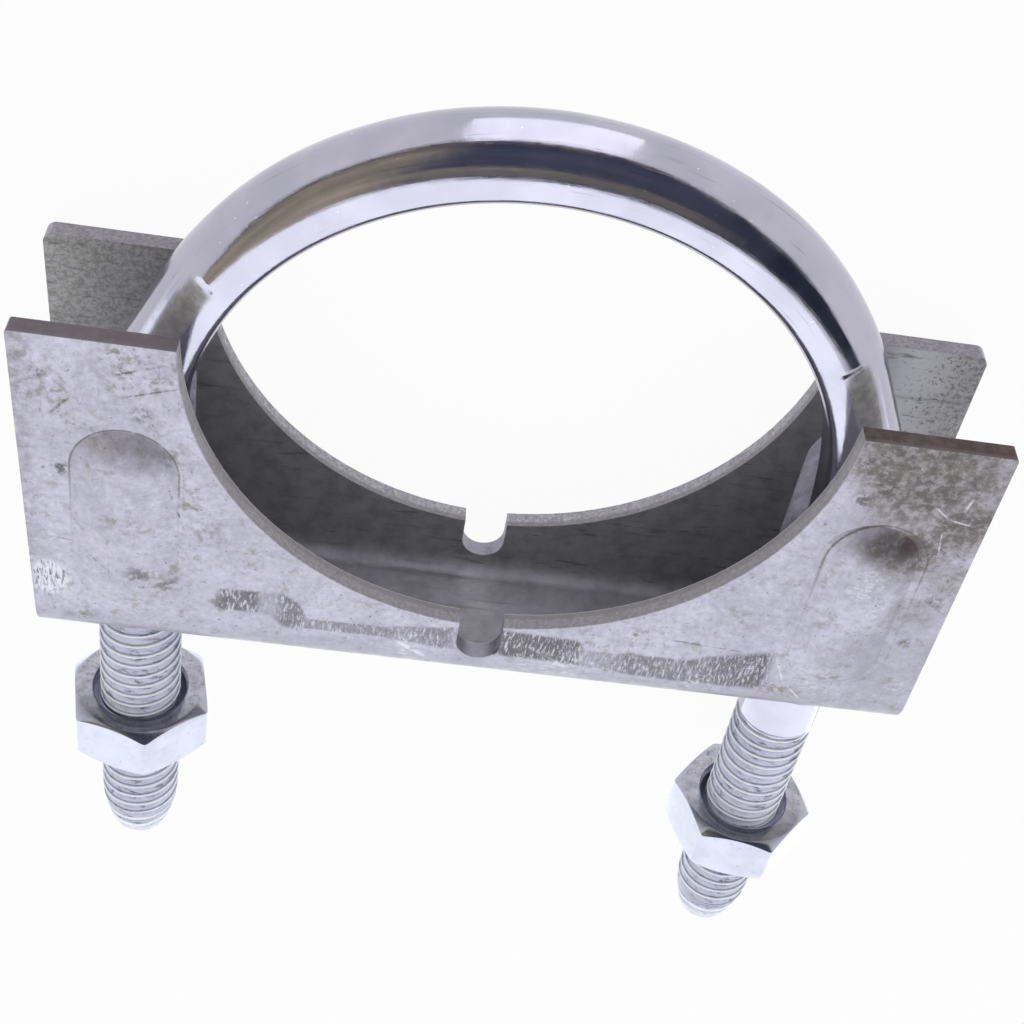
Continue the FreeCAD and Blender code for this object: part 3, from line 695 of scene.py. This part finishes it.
# Light, floor and camera
def glow_material(name, first, second, strength=1.0):
    """Light of a card, in level streaks of two colours."""
    s = Surface(name)
    s.nodes.remove(s.shader)
    streaks = s.noise(0.012, 4.0, 0.6, (0.25, 0.25, 1.6))
    glow = s.add("ShaderNodeEmission")
    s.put(glow.inputs["Color"], s.mix(s.ramp(streaks, 0.35, 0.65), first, second))
    glow.inputs["Strength"].default_value = strength
    s.links.new(glow.outputs[0], s.nodes["Material Output"].inputs["Surface"])
    return s.material


def ceiling_material():
    """The dim ceiling over the clamp: dark blue with a thin warm rim, and brown towards the left."""
    s = Surface("ceiling")
    s.nodes.remove(s.shader)
    split = s.add("ShaderNodeSeparateXYZ")
    s.links.new(s.add("ShaderNodeTexCoord").outputs["UV"], split.inputs[0])
    along, across, _ = split.outputs
    drawn = s.add("ShaderNodeCombineXYZ")
    for socket, value in zip(drawn.inputs, (s.times(along, 1.5), s.times(across, 5.0), 0.0)):
        s.put(socket, value)
    streaks = s.noise(1.6, 6.0, 0.7, place=drawn.outputs[0])
    across = s.math("ADD", across, s.math("MULTIPLY_ADD", streaks, 0.24, -0.12))
    dark = s.mix(s.ramp(streaks, 0.35, 0.65), (0.055, 0.065, 0.11), (0.12, 0.13, 0.175))
    dark = s.mix(s.ramp(along, 0.66, 0.80), dark, (0.035, 0.042, 0.065))
    warm = s.mix(s.ramp(streaks, 0.40, 0.60), (0.26, 0.235, 0.18), (0.44, 0.40, 0.31))
    rim = s.times(s.ramp(across, 0.62, 0.72), s.ramp(across, 0.94, 0.84), s.ramp(along, 0.76, 0.66))
    colour = s.mix(s.times(rim, 0.8), dark, warm)
    brown = s.mix(s.ramp(streaks, 0.36, 0.62), (0.26, 0.23, 0.17), (0.72, 0.63, 0.46))
    wedge = s.math("MULTIPLY_ADD", across, 0.12, along)
    left = s.ramp(wedge, 0.50, 0.38)
    colour = s.mix(left, colour, brown)
    line = s.times(s.ramp(across, 0.20, 0.08), s.ramp(along, 0.85, 0.70))
    colour = s.mix(s.times(line, 0.85), colour, (0.10, 0.08, 0.095))
    glow = s.add("ShaderNodeEmission")
    s.put(glow.inputs["Color"], colour)
    s.links.new(glow.outputs[0], s.nodes["Material Output"].inputs["Surface"])
    return s.material


def seen_share(nodes, links, share):
    """share where a camera, glossy or transmission ray looks, and 0 elsewhere."""
    path = nodes.new("ShaderNodeLightPath")
    total = path.outputs["Is Camera Ray"]
    for name in ("Is Glossy Ray", "Is Transmission Ray"):
        node = nodes.new("ShaderNodeMath")
        node.operation = "MAXIMUM"
        links.new(total, node.inputs[0])
        links.new(path.outputs[name], node.inputs[1])
        total = node.outputs[0]
    node = nodes.new("ShaderNodeMath")
    node.operation = "MULTIPLY"
    links.new(total, node.inputs[0])
    node.inputs[1].default_value = share
    return node.outputs[0]


def card(name, corners, material, faces=None):
    """A reflection card of the studio, seen only by glossy rays."""
    mesh = bpy.data.meshes.new(name)
    mesh.from_pydata([tuple(corner) for corner in corners], [], faces or [tuple(range(len(corners)))])
    mesh.materials.append(material)
    item = bpy.data.objects.new(name, mesh)
    bpy.context.scene.collection.objects.link(item)
    item.visible_camera = False
    item.visible_diffuse = False
    item.visible_shadow = False
    item.visible_transmission = False
    item.visible_volume_scatter = False
    return item


def make_floor():
    mesh = bpy.data.meshes.new("floor")
    reach, level = 4.0, -0.0085
    mesh.from_pydata([(-reach, -reach, level), (reach, -reach, level), (reach, reach, level),
                      (-reach, reach, level)], [], [(0, 1, 2, 3)])
    material = bpy.data.materials.new("studio_floor")
    material.use_nodes = True
    nodes, links = material.node_tree.nodes, material.node_tree.links
    paint = nodes["Principled BSDF"]
    paint.inputs["Base Color"].default_value = (0.88, 0.88, 0.89, 1.0)
    paint.inputs["Roughness"].default_value = 0.8
    paint.inputs["Specular IOR Level"].default_value = 0.0
    glow = nodes.new("ShaderNodeEmission")
    glow.inputs["Color"].default_value = (1.0, 1.0, 1.0, 1.0)
    mix = nodes.new("ShaderNodeMixShader")
    links.new(seen_share(nodes, links, 0.94), mix.inputs[0])
    links.new(paint.outputs[0], mix.inputs[1])
    links.new(glow.outputs[0], mix.inputs[2])
    links.new(mix.outputs[0], nodes["Material Output"].inputs["Surface"])
    mesh.materials.append(material)
    floor = bpy.data.objects.new("floor", mesh)
    bpy.context.scene.collection.objects.link(floor)


def make_world():
    world = bpy.data.worlds.new("studio")
    bpy.context.scene.world = world
    world.use_nodes = True
    nodes, links = world.node_tree.nodes, world.node_tree.links
    background = nodes["Background"]
    background.inputs["Color"].default_value = (1.0, 1.0, 1.0, 1.0)
    level = nodes.new("ShaderNodeMath")
    level.operation = "ADD"
    links.new(seen_share(nodes, links, 0.45), level.inputs[0])
    level.inputs[1].default_value = 0.55
    links.new(level.outputs[0], background.inputs["Strength"])


def area_light(name, place, aim, width, height, radiance, colour):
    """A soft box whose face has the given radiance, where 1 is white, hidden from glossy rays, which see the studio's
    cards instead.
    """
    light = bpy.data.lights.new(name, "AREA")
    light.shape = "RECTANGLE"
    light.size, light.size_y = width, height
    light.energy = radiance * pi * width * height
    light.color = colour
    item = bpy.data.objects.new(name, light)
    item.location = place
    item.rotation_mode = "QUATERNION"
    item.rotation_quaternion = (Vector(aim) - Vector(place)).to_track_quat("-Z", "Y")
    item.visible_glossy = False
    bpy.context.scene.collection.objects.link(item)


def direction_point(x, y, elevation, distance):
    """A point at a distance from the clamp, towards (x, y) and at an elevation in degrees."""
    flat = distance * cos(radians(elevation)) / hypot(x, y)
    return Vector((x * flat, y * flat - 0.02, distance * sin(radians(elevation))))


def at_distance(direction, distance):
    return Vector(direction).normalized() * distance + Vector((0, -0.014, 0))


# The ceiling's two long edges, as directions from the clamp
CEILING = (
    ((-0.78, -0.20, 0.60), (-0.62, -0.36, 0.70)), ((-0.84, -0.04, 0.54), (-0.50, -0.30, 0.81)),
    ((-0.88, 0.17, 0.44), (-0.47, -0.22, 0.86)), ((-0.84, 0.39, 0.37), (-0.40, -0.16, 0.90)),
    ((-0.77, 0.56, 0.31), (-0.35, -0.09, 0.93)), ((-0.66, 0.69, 0.30), (-0.29, -0.03, 0.95)),
    ((-0.54, 0.81, 0.25), (-0.24, 0.02, 0.97)), ((-0.35, 0.92, 0.19), (-0.11, 0.00, 0.99)),
    ((-0.18, 0.96, 0.22), (-0.02, -0.04, 1.00)), ((0.05, 0.96, 0.27), (0.08, -0.05, 1.00)),
    ((0.29, 0.92, 0.28), (0.19, -0.07, 0.98)), ((0.40, 0.87, 0.29), (0.25, -0.10, 0.96)),
    ((0.57, 0.72, 0.38), (0.31, -0.15, 0.94)), ((0.73, 0.46, 0.49), (0.41, -0.20, 0.89)),
    ((0.81, 0.25, 0.50), (0.48, -0.24, 0.84)), ((0.87, 0.02, 0.49), (0.54, -0.30, 0.79)),
    ((0.91, -0.10, 0.41), (0.60, -0.33, 0.73)), ((0.94, -0.18, 0.30), (0.76, -0.33, 0.58)),
)


def make_studio():
    make_world()
    make_floor()
    place = direction_point(0.10, -1.0, 46.0, 1.0)
    area_light("soft_box_front", place, (0, -0.02, 0), 2.2, 1.5, 0.62, (0.97, 0.975, 1.0))
    area_light("soft_box_back", direction_point(0.25, 1.0, 24.0, 1.0), (0, -0.02, 0), 1.4, 0.6, 0.9,
               (0.98, 0.985, 1.0))
    white = glow_material("soft_white", (0.95, 0.98, 1.0), (0.96, 0.99, 1.0), 1.76)
    turns, lifts = range(-80, 51, 10), (0, 15, 30, 45, 60, 75, 84)
    points = [direction_point(sin(radians(turn)), -cos(radians(turn)), lift, 1.0) for lift in lifts for turn in turns]
    faces = [(row + col, row + col + 1, row + col + 1 + len(turns), row + col + len(turns))
             for row in range(0, len(points) - len(turns), len(turns)) for col in range(len(turns) - 1)]
    card("soft_card", points, white, faces)
    card("soft_floor", [(-0.9, -0.049, -0.0083), (0.0, -0.049, -0.0083), (0.02, -0.057, -0.0083),
                        (0.6, -0.057, -0.0083), (0.6, -0.9, -0.0083), (-0.9, -0.9, -0.0083)], white)
    outer, inner = zip(*CEILING)
    points = [at_distance(direction, 0.9) for direction in outer + inner]
    count = len(outer)
    faces = [(i, i + 1, i + 1 + count, i + count) for i in range(count - 1)]
    ceiling = card("ceiling", points, ceiling_material(), faces)
    spread = ceiling.data.uv_layers.new(name="spread")
    for corner in ceiling.data.loops:
        row, place = divmod(corner.vertex_index, count)
        spread.data[corner.index].uv = (place / (count - 1), float(row))
    bright = glow_material("window", (0.95, 0.94, 1.0), (1.0, 1.0, 1.0), 1.85)
    card("window_low", [(-0.010, 0.028, -0.0082), (0.010, 0.028, -0.0082), (0.045, 0.13, -0.0082),
                        (-0.045, 0.13, -0.0082)], bright)
    card("window_high", [(-0.045, 0.13, -0.0082), (0.045, 0.13, -0.0082), (0.045, 0.135, 0.032),
                         (-0.045, 0.135, 0.032)], bright)


def make_camera():
    data = bpy.data.cameras.new("camera")
    data.sensor_width = 36.0
    data.lens = 59.888
    data.clip_start, data.clip_end = 0.005, 20.0
    camera = bpy.data.objects.new("camera", data)
    right = Vector((0.988932, 0.146973, -0.020326))
    up = Vector((-0.121301, 0.721985, -0.681193))
    forward = Vector((0.085442, -0.676118, -0.731822))
    place = Vector((-11.337, 81.699, 109.944)) * MM
    turn = Matrix((right, up, -forward)).transposed()
    camera.matrix_world = Matrix.Translation(place) @ turn.to_4x4()
    bpy.context.scene.collection.objects.link(camera)
    bpy.context.scene.camera = camera


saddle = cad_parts["saddle"]
saddle.data.materials.clear()
saddle.data.materials.append(saddle_material())

bolt = mesh_object("bolt_bar", *joined(bar_mesh(), thread_mesh(LEGS["left"]), thread_mesh(LEGS["right"])),
                   radians(50))
bolt.data.materials.append(bolt_material())
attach(bolt, "u_bolt")
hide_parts("u_bolt")

zinc_nut = nut_material()
for node_name, nut in NUTS.items():
    piece = mesh_object("hex_" + node_name, *nut_mesh(nut), radians(35))
    piece.data.materials.append(zinc_nut)
    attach(piece, node_name)
    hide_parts(node_name)

bpy.context.scene.view_settings.view_transform = "Standard"
make_studio()
make_camera()
